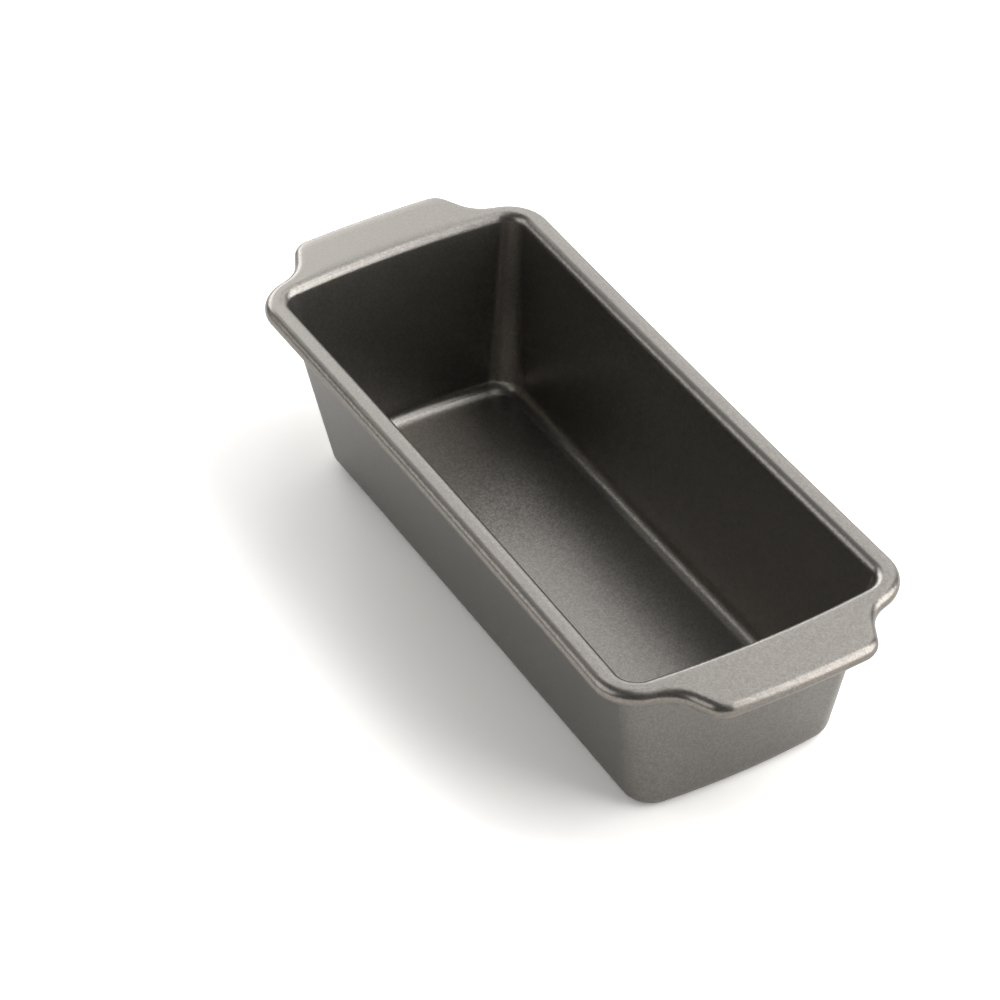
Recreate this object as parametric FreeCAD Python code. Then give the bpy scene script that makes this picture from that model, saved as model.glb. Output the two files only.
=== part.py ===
"""Non-stick loaf pan: a drawn sheet-steel shell whose curled edge holds a wire.

Millimetres, +Z up. The origin is the middle of the base, on the surface that the pan
stands on. +X runs along the pan and +Y across it.
"""
import FreeCAD
import Part
import math
import os

Vector = FreeCAD.Vector
UP = Vector(0, 0, 1)

# Sheet and height.
SHEET = 0.8                 # thickness of the steel sheet
HEIGHT = 70.4               # base to the top of the rim

# Outside of the walls, where they would meet the base and the rim without rounding,
# at the middle of an end and of a side.
BASE_HALF_LENGTH = 112.8
BASE_HALF_WIDTH = 39.1
TOP_HALF_LENGTH = 122.8
TOP_HALF_WIDTH = 48.3

# Plan shape of the walls. The ends bulge outwards and the sides are pinched in a little:
# each angle is how far the wall has turned where it meets the corner, in degrees.
END_BULGE = 6.0
BASE_PINCH = 0.15
TOP_PINCH = 0.75
BASE_CORNER_RADIUS = 12.0
TOP_CORNER_RADIUS = 8.0

# Rounding in the upright section.
BASE_RADIUS = 6.4           # outside, between base and wall
ROLL_RADIUS = 3.45          # cavity side, between wall and rim

# Flat rim with its two handles, as far as the flat reaches. The corners are the sharp
# ones before rounding, given for one quarter of the pan.
RIM_HALF_WIDTH = 53.1
HANDLE_TIP = 143.2
HANDLE_BULGE = 0.9          # middle of the handle's edge beyond its corners
HANDLE_HALF_WIDTH = 27.6
SHOULDER = (127.2, 35.0)    # inside corner beside the handle
FLANK_X = 121.4             # outer corner of the rim
RIM_CORNER_RADIUS = 14.0
SHOULDER_RADIUS = 17.5
HANDLE_CORNER_RADIUS = 5.2

# Curled edge and the wire inside it.
CURL_RADIUS = 3.05          # outside of the curl
CURL_TURN = 270.0           # how far the sheet turns, in degrees
WIRE_CLEARANCE = 0.05       # between the wire and the inside of the curl
WIRE_GAP = 1.0              # between the two cut ends of the wire

NEAR = 0.01                 # tolerance for finding edges by their place


def polar(centre, radius, degrees):
    """Point on a horizontal circle."""
    angle = math.radians(degrees)
    return centre + Vector(radius * math.cos(angle), radius * math.sin(angle), 0)


def arc_through(start, middle, end):
    """Arc through three points."""
    return Part.Arc(start, middle, end).toShape()


def wall_outline(half_length, half_width, corner, pinch, z):
    """Outline of a wall at one height: four corner arcs, two sides and two ends."""
    bulge_rise = math.tan(math.radians(END_BULGE) / 2)
    pinch_rise = math.tan(math.radians(pinch) / 2)
    centre_x = half_length - corner - bulge_rise * (half_width - corner)
    centre_x = centre_x / (1 + bulge_rise * pinch_rise)
    centre_y = half_width - corner + pinch_rise * centre_x
    quarters = ((1, 1, END_BULGE, 90 + pinch), (-1, 1, 90 - pinch, 180 - END_BULGE),
                (-1, -1, 180 + END_BULGE, 270 + pinch), (1, -1, 270 - pinch, 360 - END_BULGE))
    middles = (Vector(0, half_width, z), Vector(-half_length, 0, z),
               Vector(0, -half_width, z), Vector(half_length, 0, z))
    corners = []
    for side_x, side_y, start, end in quarters:
        centre = Vector(side_x * centre_x, side_y * centre_y, z)
        turns = (start, (start + end) / 2, end)
        corners.append([polar(centre, corner, degrees) for degrees in turns])
    edges = []
    for index, points in enumerate(corners):
        next_start = corners[(index + 1) % len(corners)][0]
        edges.append(arc_through(*points))
        edges.append(arc_through(points[2], middles[index], next_start))
    return Part.Wire(edges)


def wall_solid(inset, bottom, top):
    """Solid with drafted walls, its surface inset from the outside of the pan."""
    draft = math.atan2(TOP_HALF_LENGTH - BASE_HALF_LENGTH, HEIGHT)
    sideways = inset / math.cos(draft)
    wires = []
    for z in (bottom, top):
        share = z / HEIGHT
        half_length = BASE_HALF_LENGTH + (TOP_HALF_LENGTH - BASE_HALF_LENGTH) * share
        half_width = BASE_HALF_WIDTH + (TOP_HALF_WIDTH - BASE_HALF_WIDTH) * share
        corner = BASE_CORNER_RADIUS + (TOP_CORNER_RADIUS - BASE_CORNER_RADIUS) * share
        pinch = BASE_PINCH + (TOP_PINCH - BASE_PINCH) * share
        wires.append(wall_outline(half_length - sideways, half_width - sideways,
                                  corner - sideways, pinch, z))
    return Part.makeLoft(wires, True, True)


def wall_edges(shape, z):
    """Edges of the walls at one height. The edges of the rim lie further out."""
    found = []
    for edge in shape.Edges:
        box = edge.BoundBox
        level = abs(box.ZMin - z) < NEAR and abs(box.ZMax - z) < NEAR
        inside_x = max(-box.XMin, box.XMax) < TOP_HALF_LENGTH + SHEET
        inside_y = max(-box.YMin, box.YMax) < TOP_HALF_WIDTH + SHEET
        if level and inside_x and inside_y:
            found.append(edge)
    return found


def upright_edges(shape, x, y):
    """Upright edges at one place in each quarter."""
    found = []
    for edge in shape.Edges:
        middle = edge.CenterOfMass
        at_place = abs(abs(middle.x) - x) < NEAR and abs(abs(middle.y) - y) < NEAR
        if at_place and edge.BoundBox.ZLength > SHEET / 2:
            found.append(edge)
    return found


def rim_plate():
    """Flat rim with both handles, still closed over the opening."""
    bottom = HEIGHT - SHEET
    flank_y = RIM_HALF_WIDTH + FLANK_X * math.tan(math.radians(TOP_PINCH) / 2)
    corners = ((FLANK_X, flank_y), SHOULDER, (HANDLE_TIP - HANDLE_BULGE, HANDLE_HALF_WIDTH))
    edges = []
    for end in (1, -1):
        tips = []
        for side in (1, -1):
            flank, shoulder, tip = [Vector(end * x, side * y, bottom) for x, y in corners]
            edges.append(Part.makeLine(flank, shoulder))
            edges.append(Part.makeLine(shoulder, tip))
            tips.append(tip)
        edges.append(arc_through(tips[0], Vector(end * HANDLE_TIP, 0, bottom), tips[1]))
    for side in (1, -1):
        flanks = [Vector(end * FLANK_X, side * flank_y, bottom) for end in (1, -1)]
        middle = Vector(0, side * RIM_HALF_WIDTH, bottom)
        edges.append(arc_through(flanks[0], middle, flanks[1]))
    outline = Part.Wire(Part.__sortEdges__(edges))
    plate = Part.Face(outline).extrude(UP * SHEET)
    radii = (RIM_CORNER_RADIUS, SHOULDER_RADIUS, HANDLE_CORNER_RADIUS)
    for (x, y), radius in zip(corners, radii):
        plate = plate.makeFillet(radius, upright_edges(plate, x, y))
    return plate


def curl_profile(start, outward):
    """Section of the curled sheet, below a point on the edge of the flat rim."""
    centre = start - UP * CURL_RADIUS
    rings = []
    for radius in (CURL_RADIUS, CURL_RADIUS - SHEET):
        ring = []
        for share in (0, 0.5, 1):
            angle = math.radians(90 - CURL_TURN * share)
            ring.append(centre + outward * radius * math.cos(angle)
                        + UP * radius * math.sin(angle))
        rings.append(ring)
    outer, inner = rings
    edges = [arc_through(*outer), Part.makeLine(outer[2], inner[2]),
             arc_through(*reversed(inner)), Part.makeLine(inner[0], outer[0])]
    return Part.Face(Part.Wire(edges))


def wire_profile(start, outward):
    """Section of the wire, below a point on the edge of the flat rim."""
    radius = CURL_RADIUS - SHEET - WIRE_CLEARANCE
    centre = start - UP * CURL_RADIUS
    return Part.Face(Part.Wire(Part.makeCircle(radius, centre, outward.cross(UP))))


def sweep_edge(profile_at, edge):
    """Sweep a section along one line or arc of the rim."""
    first, last = edge.ParameterRange
    if edge.Orientation == "Reversed":
        first, last = last, first
    start = edge.valueAt(first)
    end = edge.valueAt(last)
    travel = edge.tangentAt(first)
    if last < first:
        travel = travel * -1
    profile = profile_at(start, travel.cross(UP))
    if isinstance(edge.Curve, Part.Line):
        return profile.extrude(end - start)
    centre = edge.Curve.Center
    spoke = start - centre
    turn = math.degrees(spoke.getAngle(end - centre))
    if spoke.cross(end - centre).z < 0:
        turn = -turn
    return profile.revolve(centre, UP, turn)


def sweep_round_rim(profile_at, plate):
    """Sweep a section right round the edge of the flat rim."""
    top = max(plate.Faces, key=lambda face: face.CenterOfMass.z)
    pieces = [sweep_edge(profile_at, edge) for edge in top.OuterWire.OrderedEdges]
    return pieces[0].fuse(pieces[1:]).removeSplitter()


def pan_shell():
    """Floor, walls, flat rim, both handles and the curled edge, all one sheet."""
    plate = rim_plate()
    outside = wall_solid(0, 0, HEIGHT)
    outside = outside.makeFillet(BASE_RADIUS, wall_edges(outside, 0))
    shell = outside.fuse(plate).removeSplitter()
    shell = shell.makeFillet(ROLL_RADIUS - SHEET, wall_edges(shell, HEIGHT - SHEET))
    cavity = wall_solid(SHEET, SHEET, HEIGHT + SHEET)
    cavity = cavity.makeFillet(BASE_RADIUS - SHEET, wall_edges(cavity, SHEET))
    shell = shell.cut(cavity)
    shell = shell.makeFillet(ROLL_RADIUS, wall_edges(shell, HEIGHT))
    shell = shell.fuse(sweep_round_rim(curl_profile, plate)).removeSplitter()
    return shell.Solids[0]


def rim_wire():
    """Round wire that the sheet is curled over, cut on one long side."""
    loop = sweep_round_rim(wire_profile, rim_plate())
    reach = 2 * CURL_RADIUS
    corner = Vector(-WIRE_GAP / 2, -RIM_HALF_WIDTH - reach / 2, HEIGHT - reach)
    cut = Part.makeBox(WIRE_GAP, reach, reach, corner)
    return loop.cut(cut).Solids[0]


PARTS = {"pan_shell": pan_shell, "rim_wire": rim_wire}

os.makedirs("parts", exist_ok=True)
for name, build in PARTS.items():
    build().exportStep("parts/" + name + ".step")
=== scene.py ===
"""Loaf pan in a plain pale studio: one sheet-steel shell curled over a rim wire.

Shape sizes are millimetres and become metres in the mesh. +X runs along the pan, +Y across
it and +Z up, as in the frame.
"""
import math

import bmesh
import bpy
from mathutils import Matrix, Vector


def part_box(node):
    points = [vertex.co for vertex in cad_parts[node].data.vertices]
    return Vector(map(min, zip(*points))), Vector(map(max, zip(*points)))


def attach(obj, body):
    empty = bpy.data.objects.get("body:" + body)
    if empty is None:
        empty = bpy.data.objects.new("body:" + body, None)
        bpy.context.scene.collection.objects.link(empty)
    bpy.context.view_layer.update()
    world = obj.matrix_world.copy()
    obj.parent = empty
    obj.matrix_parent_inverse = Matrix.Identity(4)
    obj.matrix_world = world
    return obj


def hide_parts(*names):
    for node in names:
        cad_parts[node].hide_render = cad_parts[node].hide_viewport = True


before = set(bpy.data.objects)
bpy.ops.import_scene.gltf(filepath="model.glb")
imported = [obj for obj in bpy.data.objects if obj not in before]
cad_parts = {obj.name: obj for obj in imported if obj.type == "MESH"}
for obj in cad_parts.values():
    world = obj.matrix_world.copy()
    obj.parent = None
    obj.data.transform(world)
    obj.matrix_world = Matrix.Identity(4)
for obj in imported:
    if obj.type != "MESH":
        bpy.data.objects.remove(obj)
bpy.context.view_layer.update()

MM = 0.001

# Sizes read from the frame. The wire lies in the middle of the curled edge.
shell_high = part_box("pan_shell")[1]
wire_low, wire_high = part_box("rim_wire")
HEIGHT = shell_high.z / MM
CURL_RADIUS = HEIGHT - (wire_high.z + wire_low.z) / 2 / MM
HANDLE_TIP = shell_high.x / MM - CURL_RADIUS
CURL_INSIDE_GAP = 0.05
SHEET = CURL_RADIUS - (wire_high.z - wire_low.z) / 2 / MM - CURL_INSIDE_GAP

# Walls: where their outside would meet the base and the rim without rounding.
BASE_HALF_LENGTH = 112.8
BASE_HALF_WIDTH = 39.1
TOP_HALF_LENGTH = 122.8
TOP_HALF_WIDTH = 48.3
BASE_CORNER_RADIUS = 12.0
TOP_CORNER_RADIUS = 8.0
END_BULGE = math.radians(6.0)
BASE_PINCH = math.radians(0.15)
TOP_PINCH = math.radians(0.75)
BASE_RADIUS = 6.4
ROLL_RADIUS = 3.45

# Flat rim and handles, one quarter, sharp corners before rounding.
RIM_HALF_WIDTH = 53.1
HANDLE_BULGE = 0.9
HANDLE_HALF_WIDTH = 27.6
SHOULDER = (127.2, 35.0)
FLANK_X = 121.4
RIM_CORNER_RADIUS = 14.0
SHOULDER_RADIUS = 17.5
HANDLE_CORNER_RADIUS = 5.2
CURL_TURN = math.radians(270.0)

# The floor's rows start from a line along the middle of the pan, this far each way.
FLOOR_SPINE = BASE_HALF_LENGTH - BASE_HALF_WIDTH

# Share of the curl over which the coat comes to its full stretch.
BEND_FORMED = 0.25

# Mesh columns in one quarter of the pan. Beside a corner of the opening the rim has a round
# and a flank. Beside an end it has a hollow, a shoulder, a round and the handle's edge.
SIDE_COLUMNS = 40
RIM_CORNER_COLUMNS = (22, 4)
RIM_END_COLUMNS = (10, 4, 12, 14)
CORNER_COLUMNS = sum(RIM_CORNER_COLUMNS)
END_COLUMNS = sum(RIM_END_COLUMNS)

# Mesh rows from the middle of the floor to the end of the curl.
FLOOR_ROWS = 8
BASE_ROUND_ROWS = 10
WALL_ROWS = 24
ROLL_ROWS = 10
RIM_ROWS = 6
CURL_ROWS = 30

# Edges sharper than this stay crisp. Points closer than this, in metres, become one.
CRISP_ANGLE = math.radians(40)
WELD_DISTANCE = 1e-7
SMALLEST_EDGE = 1e-8


def unit(angle):
    """Horizontal direction at an angle from +X."""
    return Vector((math.cos(angle), math.sin(angle)))


def steps(start, end, count):
    """Evenly spaced values after start, up to and with end."""
    return [start + (end - start) * (index + 1) / count for index in range(count)]


def wall_quarter(half_length, half_width, corner, pinch):
    """Wall outline from the middle of a side to the middle of an end: points, normals."""
    bulge_rise = math.tan(END_BULGE / 2)
    pinch_rise = math.tan(pinch / 2)
    centre_x = half_length - corner - bulge_rise * (half_width - corner)
    centre_x = centre_x / (1 + bulge_rise * pinch_rise)
    centre = Vector((centre_x, half_width - corner + pinch_rise * centre_x))
    side_radius = centre.x / math.sin(pinch) - corner
    end_radius = centre.y / math.sin(END_BULGE) + corner
    side_centre = Vector((0, half_width + side_radius))
    end_centre = Vector((half_length - end_radius, 0))
    quarter = [(Vector((0, half_width)), unit(math.pi / 2))]
    for turn in steps(0, pinch, SIDE_COLUMNS):
        normal = unit(math.pi / 2 + turn)
        quarter.append((side_centre - normal * side_radius, normal))
    for turn in steps(math.pi / 2 + pinch, END_BULGE, CORNER_COLUMNS):
        quarter.append((centre + unit(turn) * corner, unit(turn)))
    for turn in steps(END_BULGE, 0, END_COLUMNS):
        quarter.append((end_centre + unit(turn) * end_radius, unit(turn)))
    return quarter


def rounded(corner, previous, following, radius, count, hollow=False):
    """Arc that rounds a corner between two straight runs: its points and normals."""
    back = (previous - corner).normalized()
    ahead = (following - corner).normalized()
    half = back.angle(ahead) / 2
    centre = corner + (back + ahead).normalized() * radius / math.sin(half)
    start = corner + back * radius / math.tan(half) - centre
    end = corner + ahead * radius / math.tan(half) - centre
    first = math.atan2(start.y, start.x)
    last = math.atan2(end.y, end.x)
    if last - first > math.pi:
        last -= 2 * math.pi
    if first - last > math.pi:
        last += 2 * math.pi
    sign = -1 if hollow else 1
    return [(centre + unit(turn) * radius, unit(turn) * sign)
            for turn in [first] + steps(first, last, count)]


def straight(start, end, count):
    """Points after start and before end on a straight run."""
    across = (end - start).normalized()
    normal = Vector((-across.y, across.x))
    return [(start.lerp(end, share), normal) for share in steps(0, 1, count)[:-1]]


def rim_quarter():
    """Edge of the flat rim from the middle of a side to the middle of a handle."""
    side_radius = FLANK_X / math.sin(TOP_PINCH)
    side_centre = Vector((0, RIM_HALF_WIDTH + side_radius))
    flank = Vector((FLANK_X, RIM_HALF_WIDTH + FLANK_X * math.tan(TOP_PINCH / 2)))
    shoulder = Vector(SHOULDER)
    tip = Vector((HANDLE_TIP - HANDLE_BULGE, HANDLE_HALF_WIDTH))
    tip_turn = 2 * math.atan(HANDLE_BULGE / HANDLE_HALF_WIDTH)
    tip_radius = HANDLE_HALF_WIDTH / math.sin(tip_turn)
    before_flank = flank - Vector((math.cos(TOP_PINCH), math.sin(TOP_PINCH)))
    after_tip = tip + Vector((math.sin(tip_turn), -math.cos(tip_turn)))
    round_count, flank_count = RIM_CORNER_COLUMNS
    hollow_count, shoulder_count, tip_count, end_count = RIM_END_COLUMNS
    rim_round = rounded(flank, before_flank, shoulder, RIM_CORNER_RADIUS, round_count)
    hollow = rounded(shoulder, flank, tip, SHOULDER_RADIUS, hollow_count, hollow=True)
    tip_round = rounded(tip, shoulder, after_tip, HANDLE_CORNER_RADIUS, tip_count)
    quarter = [(Vector((0, RIM_HALF_WIDTH)), unit(math.pi / 2))]
    side_end = math.asin(rim_round[0][0].x / side_radius)
    for turn in steps(0, side_end, SIDE_COLUMNS)[:-1]:
        normal = unit(math.pi / 2 + turn)
        quarter.append((side_centre - normal * side_radius, normal))
    quarter += rim_round
    quarter += straight(rim_round[-1][0], hollow[0][0], flank_count)
    quarter += hollow
    quarter += straight(hollow[-1][0], tip_round[0][0], shoulder_count)
    quarter += tip_round
    tip_centre = Vector((HANDLE_TIP - tip_radius, 0))
    last_turn = math.asin(tip_round[-1][0].y / tip_radius)
    for turn in steps(last_turn, 0, end_count):
        quarter.append((tip_centre + unit(turn) * tip_radius, unit(turn)))
    return quarter


def whole_loop(quarter):
    """Mirrors one quarter into a closed anticlockwise loop of points and normals."""
    def flipped(pairs, side_x, side_y):
        """The same points and normals in another quarter."""
        flip = Vector((side_x, side_y))
        return [(point * flip, normal * flip) for point, normal in pairs]

    loop = flipped(quarter, 1, 1)[::-1]
    loop += flipped(quarter, -1, 1)[1:]
    loop += flipped(quarter, -1, -1)[::-1][1:]
    loop += flipped(quarter, 1, -1)[1:-1]
    return loop


def shell_rows(depth):
    """Rings of points from the middle of the floor to the end of the curl.

    depth is 0 on the face that the dough touches and the sheet's thickness below it.
    """
    base = whole_loop(wall_quarter(BASE_HALF_LENGTH, BASE_HALF_WIDTH,
                                   BASE_CORNER_RADIUS, BASE_PINCH))
    top = whole_loop(wall_quarter(TOP_HALF_LENGTH, TOP_HALF_WIDTH,
                                  TOP_CORNER_RADIUS, TOP_PINCH))
    rim = whole_loop(rim_quarter())
    columns = []
    for (low, normal), (high, top_normal), (edge, edge_normal) in zip(base, top, rim):
        columns.append(shell_column(low, high, normal, top_normal, edge, edge_normal, depth))
    return [list(row) for row in zip(*columns)]


def shell_column(low, high, low_normal, high_normal, edge, edge_normal, depth):
    """One line of points up the shell."""
    draft = math.atan((high - low).dot(low_normal) / HEIGHT)
    half_corner = math.tan((math.pi / 2 - draft) / 2)
    base_centre = low - low_normal * BASE_RADIUS * half_corner
    inner_high = high - high_normal * SHEET / math.cos(draft)
    roll_centre = inner_high + high_normal * ROLL_RADIUS * half_corner
    points = []
    spine_x = max(-1, min(1, base_centre.x / FLOOR_SPINE)) * FLOOR_SPINE
    spine = Vector((spine_x, 0))
    floor_z = SHEET - depth
    for share in [0] + steps(0, 1, FLOOR_ROWS)[:-1]:
        points.append(spine.lerp(base_centre, share).to_3d() + Vector((0, 0, floor_z)))
    radius = BASE_RADIUS - SHEET + depth
    for turn in [0] + steps(0, math.pi / 2 - draft, BASE_ROUND_ROWS):
        flat = base_centre + low_normal * radius * math.sin(turn)
        points.append(Vector((flat.x, flat.y, BASE_RADIUS - radius * math.cos(turn))))
    radius = ROLL_RADIUS - depth
    roll = []
    for turn in [draft] + steps(draft, math.pi / 2, ROLL_ROWS):
        flat = roll_centre - high_normal * radius * math.cos(turn)
        roll.append(Vector((flat.x, flat.y, HEIGHT - ROLL_RADIUS + radius * math.sin(turn))))
    wall_start = points[-1]
    for share in steps(0, 1, WALL_ROWS)[:-1]:
        points.append(wall_start.lerp(roll[0], share))
    points += roll
    for share in steps(0, 1, RIM_ROWS):
        flat = roll_centre.lerp(edge, share)
        points.append(Vector((flat.x, flat.y, HEIGHT - depth)))
    radius = CURL_RADIUS - depth
    for turn in steps(0, CURL_TURN, CURL_ROWS):
        flat = edge + edge_normal * radius * math.sin(turn)
        points.append(Vector((flat.x, flat.y, HEIGHT - CURL_RADIUS + radius * math.cos(turn))))
    return points


def bend_share(row, count):
    """How far a row lies up the curl: 0 on the flat, 1 once the bend is fully formed."""
    past_flat = row - (count - CURL_ROWS)
    return max(0.0, min(1.0, past_flat / (CURL_ROWS * BEND_FORMED)))


def build_shell():
    """Shell as one closed sheet: the dough side, the cut edge in the curl, the underside."""
    inner_rows = shell_rows(0)
    bends = [bend_share(row, len(inner_rows)) for row in range(len(inner_rows))]
    rows = inner_rows + shell_rows(SHEET)[::-1]
    bends += bends[::-1]
    mesh = bmesh.new()
    bend_layer = mesh.verts.layers.float.new("bend")
    grid = [[mesh.verts.new(point * MM) for point in row] for row in rows]
    for bend, row in zip(bends, grid):
        for vertex in row:
            vertex[bend_layer] = bend
    count = len(grid[0])
    for lower, upper in zip(grid, grid[1:]):
        for index in range(count):
            after = (index + 1) % count
            mesh.faces.new((lower[index], lower[after], upper[after], upper[index]))
    bmesh.ops.remove_doubles(mesh, verts=grid[0] + grid[-1], dist=WELD_DISTANCE)
    bmesh.ops.dissolve_degenerate(mesh, edges=mesh.edges, dist=SMALLEST_EDGE)
    bmesh.ops.recalc_face_normals(mesh, faces=mesh.faces)
    data = bpy.data.meshes.new("shell_sheet")
    mesh.to_mesh(data)
    mesh.free()
    data.shade_smooth()
    data.set_sharp_from_angle(angle=CRISP_ANGLE)
    shell = bpy.data.objects.new("shell_sheet", data)
    bpy.context.scene.collection.objects.link(shell)
    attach(shell, "root")
    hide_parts("pan_shell")
    return shell


# Coat, in metres and linear colour. Flakes are the metal grains in the lacquer, and the
# rest of it is dark pigment that scatters light evenly.
COAT_COLOUR = (0.215, 0.203, 0.187)
COAT_WARM_COLOUR = (0.242, 0.217, 0.190)
COAT_METAL_SHARE = 0.92
COAT_ROUGHNESS = (0.27, 0.33)
FLAKE_SIZE = 0.00058
FLAKE_CONTRAST = (0.86, 1.14)
FLAKE_TILT = 0.044
GRAIN_SIZE = 0.0009
GRAIN_CONTRAST = (0.93, 1.07)
GRAIN_HEIGHT = 0.000004
CLOUD_SIZE = 0.03
CLOUD_CONTRAST = (0.97, 1.03)
BEND_WARMTH = 0.55
BEND_PATCHES = (0.4, 1.6)

# Wire, in metres and linear colour. Die lines run along it.
WIRE_COLOURS = ((0.40, 0.39, 0.37), (0.58, 0.57, 0.55))
WIRE_ROUGHNESS = (0.30, 0.48)
DIE_LINE_SIZE = 0.0004
DIE_LINE_STRETCH = (0.02, 0.02, 1.0)
DIE_LINE_HEIGHT = 0.000006


def new_material(name):
    """Node material: the material, its tree and its Principled shader."""
    material = bpy.data.materials.new(name)
    material.use_nodes = True
    return material, material.node_tree, material.node_tree.nodes["Principled BSDF"]


def feed(tree, value, socket):
    """Gives a socket a number, a colour or another node's output."""
    if isinstance(value, bpy.types.NodeSocket):
        tree.links.new(value, socket)
    else:
        socket.default_value = value


def calculate(tree, operation, *values):
    """Output of one math node."""
    node = tree.nodes.new("ShaderNodeMath")
    node.operation = operation
    for value, socket in zip(values, node.inputs):
        feed(tree, value, socket)
    return node.outputs[0]


def vector_math(tree, operation, first, second):
    """Output of one vector math node. A plain number as second is a scale."""
    node = tree.nodes.new("ShaderNodeVectorMath")
    node.operation = operation
    feed(tree, first, node.inputs[0])
    feed(tree, second, node.inputs["Scale" if operation == "SCALE" else 1])
    return node.outputs[0]


def spread(tree, value, limits):
    """Takes a value between 0 and 1 to a range."""
    node = tree.nodes.new("ShaderNodeMapRange")
    feed(tree, value, node.inputs["Value"])
    node.inputs["To Min"].default_value, node.inputs["To Max"].default_value = limits
    return node.outputs["Result"]


def noise(tree, place, size):
    """Soft random value with features of one size, in metres."""
    node = tree.nodes.new("ShaderNodeTexNoise")
    feed(tree, place, node.inputs["Vector"])
    node.inputs["Scale"].default_value = 1 / size
    return node.outputs["Fac"]


def blend_colours(tree, share, first, second):
    """Mix of two colours."""
    node = tree.nodes.new("ShaderNodeMix")
    node.data_type = "RGBA"
    feed(tree, share, node.inputs[0])
    feed(tree, first, node.inputs[6])
    feed(tree, second, node.inputs[7])
    return node.outputs[2]


def bump(tree, height, distance):
    """Surface direction over a height pattern, its depth in metres."""
    node = tree.nodes.new("ShaderNodeBump")
    feed(tree, height, node.inputs["Height"])
    node.inputs["Distance"].default_value = distance
    return node.outputs["Normal"]


def coating_material():
    """Satin non-stick coat: metal flakes in a grey-bronze lacquer on finely grained sheet.

    Each flake has its own brightness and tilt. The coat is warmer in uneven patches where
    the sheet is bent, because it is stretched thin there.
    """
    material, tree, shader = new_material("pan_coat")
    place = tree.nodes.new("ShaderNodeTexCoord").outputs["Object"]
    cells = tree.nodes.new("ShaderNodeTexVoronoi")
    feed(tree, place, cells.inputs["Vector"])
    cells.inputs["Scale"].default_value = 1 / FLAKE_SIZE
    flake = cells.outputs["Color"]
    flake_share = tree.nodes.new("ShaderNodeSeparateColor")
    feed(tree, flake, flake_share.inputs[0])
    grain = noise(tree, place, GRAIN_SIZE)
    cloud = noise(tree, place, CLOUD_SIZE)

    bend = tree.nodes.new("ShaderNodeAttribute")
    bend.attribute_name = "bend"
    worn = calculate(tree, "MULTIPLY", bend.outputs["Fac"], BEND_WARMTH)
    worn = calculate(tree, "MULTIPLY", worn, spread(tree, cloud, BEND_PATCHES))
    colour = blend_colours(tree, worn, (*COAT_COLOUR, 1), (*COAT_WARM_COLOUR, 1))
    shade = calculate(tree, "MULTIPLY", spread(tree, flake_share.outputs[0], FLAKE_CONTRAST),
                      spread(tree, grain, GRAIN_CONTRAST))
    shade = calculate(tree, "MULTIPLY", shade, spread(tree, cloud, CLOUD_CONTRAST))
    feed(tree, vector_math(tree, "SCALE", colour, shade), shader.inputs["Base Color"])

    tilt = vector_math(tree, "SUBTRACT", flake, (0.5, 0.5, 0.5))
    tilt = vector_math(tree, "SCALE", tilt, FLAKE_TILT)
    facing = vector_math(tree, "ADD", bump(tree, grain, GRAIN_HEIGHT), tilt)
    normalize = tree.nodes.new("ShaderNodeVectorMath")
    normalize.operation = "NORMALIZE"
    feed(tree, facing, normalize.inputs[0])
    feed(tree, normalize.outputs[0], shader.inputs["Normal"])
    feed(tree, spread(tree, cloud, COAT_ROUGHNESS), shader.inputs["Roughness"])
    shader.inputs["Metallic"].default_value = COAT_METAL_SHARE
    return material


def wire_material():
    """Plain drawn steel wire with fine die lines."""
    material, tree, shader = new_material("drawn_wire")
    place = tree.nodes.new("ShaderNodeTexCoord").outputs["Object"]
    squash = vector_math(tree, "MULTIPLY", place, DIE_LINE_STRETCH)
    lines = noise(tree, squash, DIE_LINE_SIZE)
    first, second = WIRE_COLOURS
    colour = blend_colours(tree, lines, (*first, 1), (*second, 1))
    feed(tree, colour, shader.inputs["Base Color"])
    feed(tree, spread(tree, lines, WIRE_ROUGHNESS), shader.inputs["Roughness"])
    feed(tree, bump(tree, lines, DIE_LINE_HEIGHT), shader.inputs["Normal"])
    shader.inputs["Metallic"].default_value = 1.0
    return material


# Floor, in metres. It looks brighter to the camera than it lights the pan, so that it comes
# out pure white without more light on the pan.
FLOOR_REACH = 4.0
FLOOR_COLOUR = (0.900, 0.890, 0.875)
FLOOR_EXPOSURE = 1.48


def build_floor():
    """Plain white floor, outside the object."""
    data = bpy.data.meshes.new("studio_floor")
    reach = FLOOR_REACH
    corners = [(-reach, -reach, 0), (reach, -reach, 0), (reach, reach, 0), (-reach, reach, 0)]
    data.from_pydata(corners, [], [(0, 1, 2, 3)])
    floor = bpy.data.objects.new("studio_floor", data)
    bpy.context.scene.collection.objects.link(floor)
    material, tree, shader = new_material("studio_floor")
    seen = tree.nodes.new("ShaderNodeLightPath").outputs["Is Camera Ray"]
    matt = tree.nodes.new("ShaderNodeBsdfDiffuse")
    level = spread(tree, seen, (1, FLOOR_EXPOSURE))
    feed(tree, vector_math(tree, "SCALE", FLOOR_COLOUR, level), matt.inputs["Color"])
    tree.nodes.remove(shader)
    feed(tree, matt.outputs[0], tree.nodes["Material Output"].inputs["Surface"])
    data.materials.append(material)


# Soft lights round the pan, in degrees. Azimuth is from +X towards +Y.
# name: azimuth, elevation, half width, half height, soft edge, brightness
SOFT_LIGHTS = {
    "key wall": (53, 24, 31, 25, 12, 4.7),
    "top strip": (70, 59, 30, 9, 8, 4.6),
    "overhead": (60, 80, 90, 12, 20, 0.8),
    "side wall": (130, 42, 24, 38, 16, 1.9),
    "back panel": (174, 24, 19, 13, 8, 5.2),
    "left fill": (248, 30, 30, 18, 10, 1.8),
}
ROOM_BRIGHTNESS = 0.10


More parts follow.
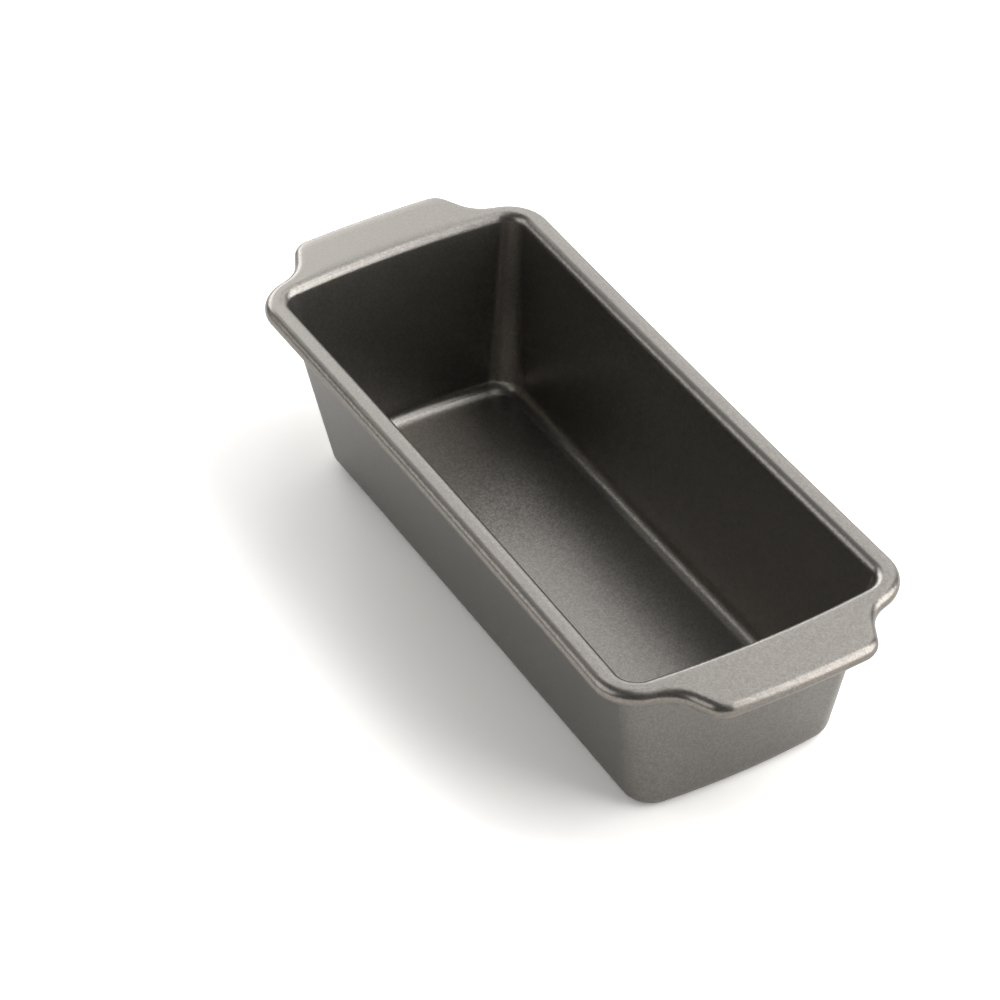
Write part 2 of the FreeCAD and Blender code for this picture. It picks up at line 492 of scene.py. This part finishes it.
def soft_share(tree, offset, half, edge):
    """1 inside half a size and 0 outside it, with a smooth change across the edge."""
    node = tree.nodes.new("ShaderNodeMapRange")
    node.interpolation_type = "SMOOTHSTEP"
    feed(tree, offset, node.inputs["Value"])
    node.inputs["From Min"].default_value = half + edge / 2
    node.inputs["From Max"].default_value = half - edge / 2
    return node.outputs["Result"]


def build_world():
    """Dim room with soft lights, placed by the direction in which they are seen.

    The camera sees plain white in place of the room, so that low views have no horizon.
    """
    world = bpy.data.worlds.new("studio_world")
    bpy.context.scene.world = world
    world.use_nodes = True
    tree = world.node_tree
    parts = tree.nodes.new("ShaderNodeSeparateXYZ")
    feed(tree, tree.nodes.new("ShaderNodeTexCoord").outputs["Generated"], parts.inputs[0])
    azimuth = calculate(tree, "ARCTAN2", parts.outputs["Y"], parts.outputs["X"])
    elevation = calculate(tree, "ARCSINE", parts.outputs["Z"])
    brightness = ROOM_BRIGHTNESS
    for aim_azimuth, aim_elevation, *size, strength in SOFT_LIGHTS.values():
        half_width, half_height, edge = [math.radians(degrees) for degrees in size]
        sideways = calculate(tree, "SUBTRACT", azimuth, math.radians(aim_azimuth))
        sideways = calculate(tree, "WRAP", sideways, math.pi, -math.pi)
        sideways = calculate(tree, "ABSOLUTE", sideways)
        upright = calculate(tree, "SUBTRACT", elevation, math.radians(aim_elevation))
        upright = calculate(tree, "ABSOLUTE", upright)
        light = calculate(tree, "MULTIPLY", soft_share(tree, sideways, half_width, edge),
                          soft_share(tree, upright, half_height, edge))
        light = calculate(tree, "MULTIPLY", light, strength)
        brightness = calculate(tree, "ADD", light, brightness)
    seen = tree.nodes.new("ShaderNodeLightPath").outputs["Is Camera Ray"]
    brightness = calculate(tree, "MAXIMUM", brightness, seen)
    feed(tree, brightness, tree.nodes["Background"].inputs["Strength"])
    tree.nodes["Background"].inputs["Color"].default_value = (1, 1, 1, 1)


# Camera. Azimuth is from -Y towards +X. The lens is in millimetres, the rest in metres.
CAMERA_AZIMUTH = math.radians(61.62)
CAMERA_ELEVATION = math.radians(39.91)
CAMERA_ROLL = math.radians(-2.08)
CAMERA_DISTANCE = 1.3026
CAMERA_TARGET = Vector((-0.0161, -0.0182, 0.0358))
CAMERA_LENS = 135.4


def build_camera():
    """Camera that looks down one corner of the pan, rolled slightly."""
    data = bpy.data.cameras.new("camera")
    data.lens = CAMERA_LENS
    camera = bpy.data.objects.new("camera", data)
    scene = bpy.context.scene
    scene.collection.objects.link(camera)
    back = Vector((math.sin(CAMERA_AZIMUTH) * math.cos(CAMERA_ELEVATION),
                   -math.cos(CAMERA_AZIMUTH) * math.cos(CAMERA_ELEVATION),
                   math.sin(CAMERA_ELEVATION)))
    camera.location = CAMERA_TARGET + back * CAMERA_DISTANCE
    right = Vector((0, 0, 1)).cross(back).normalized()
    rise = back.cross(right)
    turned_right = right * math.cos(CAMERA_ROLL) + rise * math.sin(CAMERA_ROLL)
    turned_rise = back.cross(turned_right)
    rotation = Matrix((turned_right, turned_rise, back)).transposed()
    camera.rotation_euler = rotation.to_euler()
    scene.camera = camera


shell = build_shell()
shell.data.materials.append(coating_material())
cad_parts["rim_wire"].data.materials.clear()
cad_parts["rim_wire"].data.materials.append(wire_material())
build_floor()
build_world()
build_camera()
bpy.context.scene.view_settings.view_transform = "Standard"
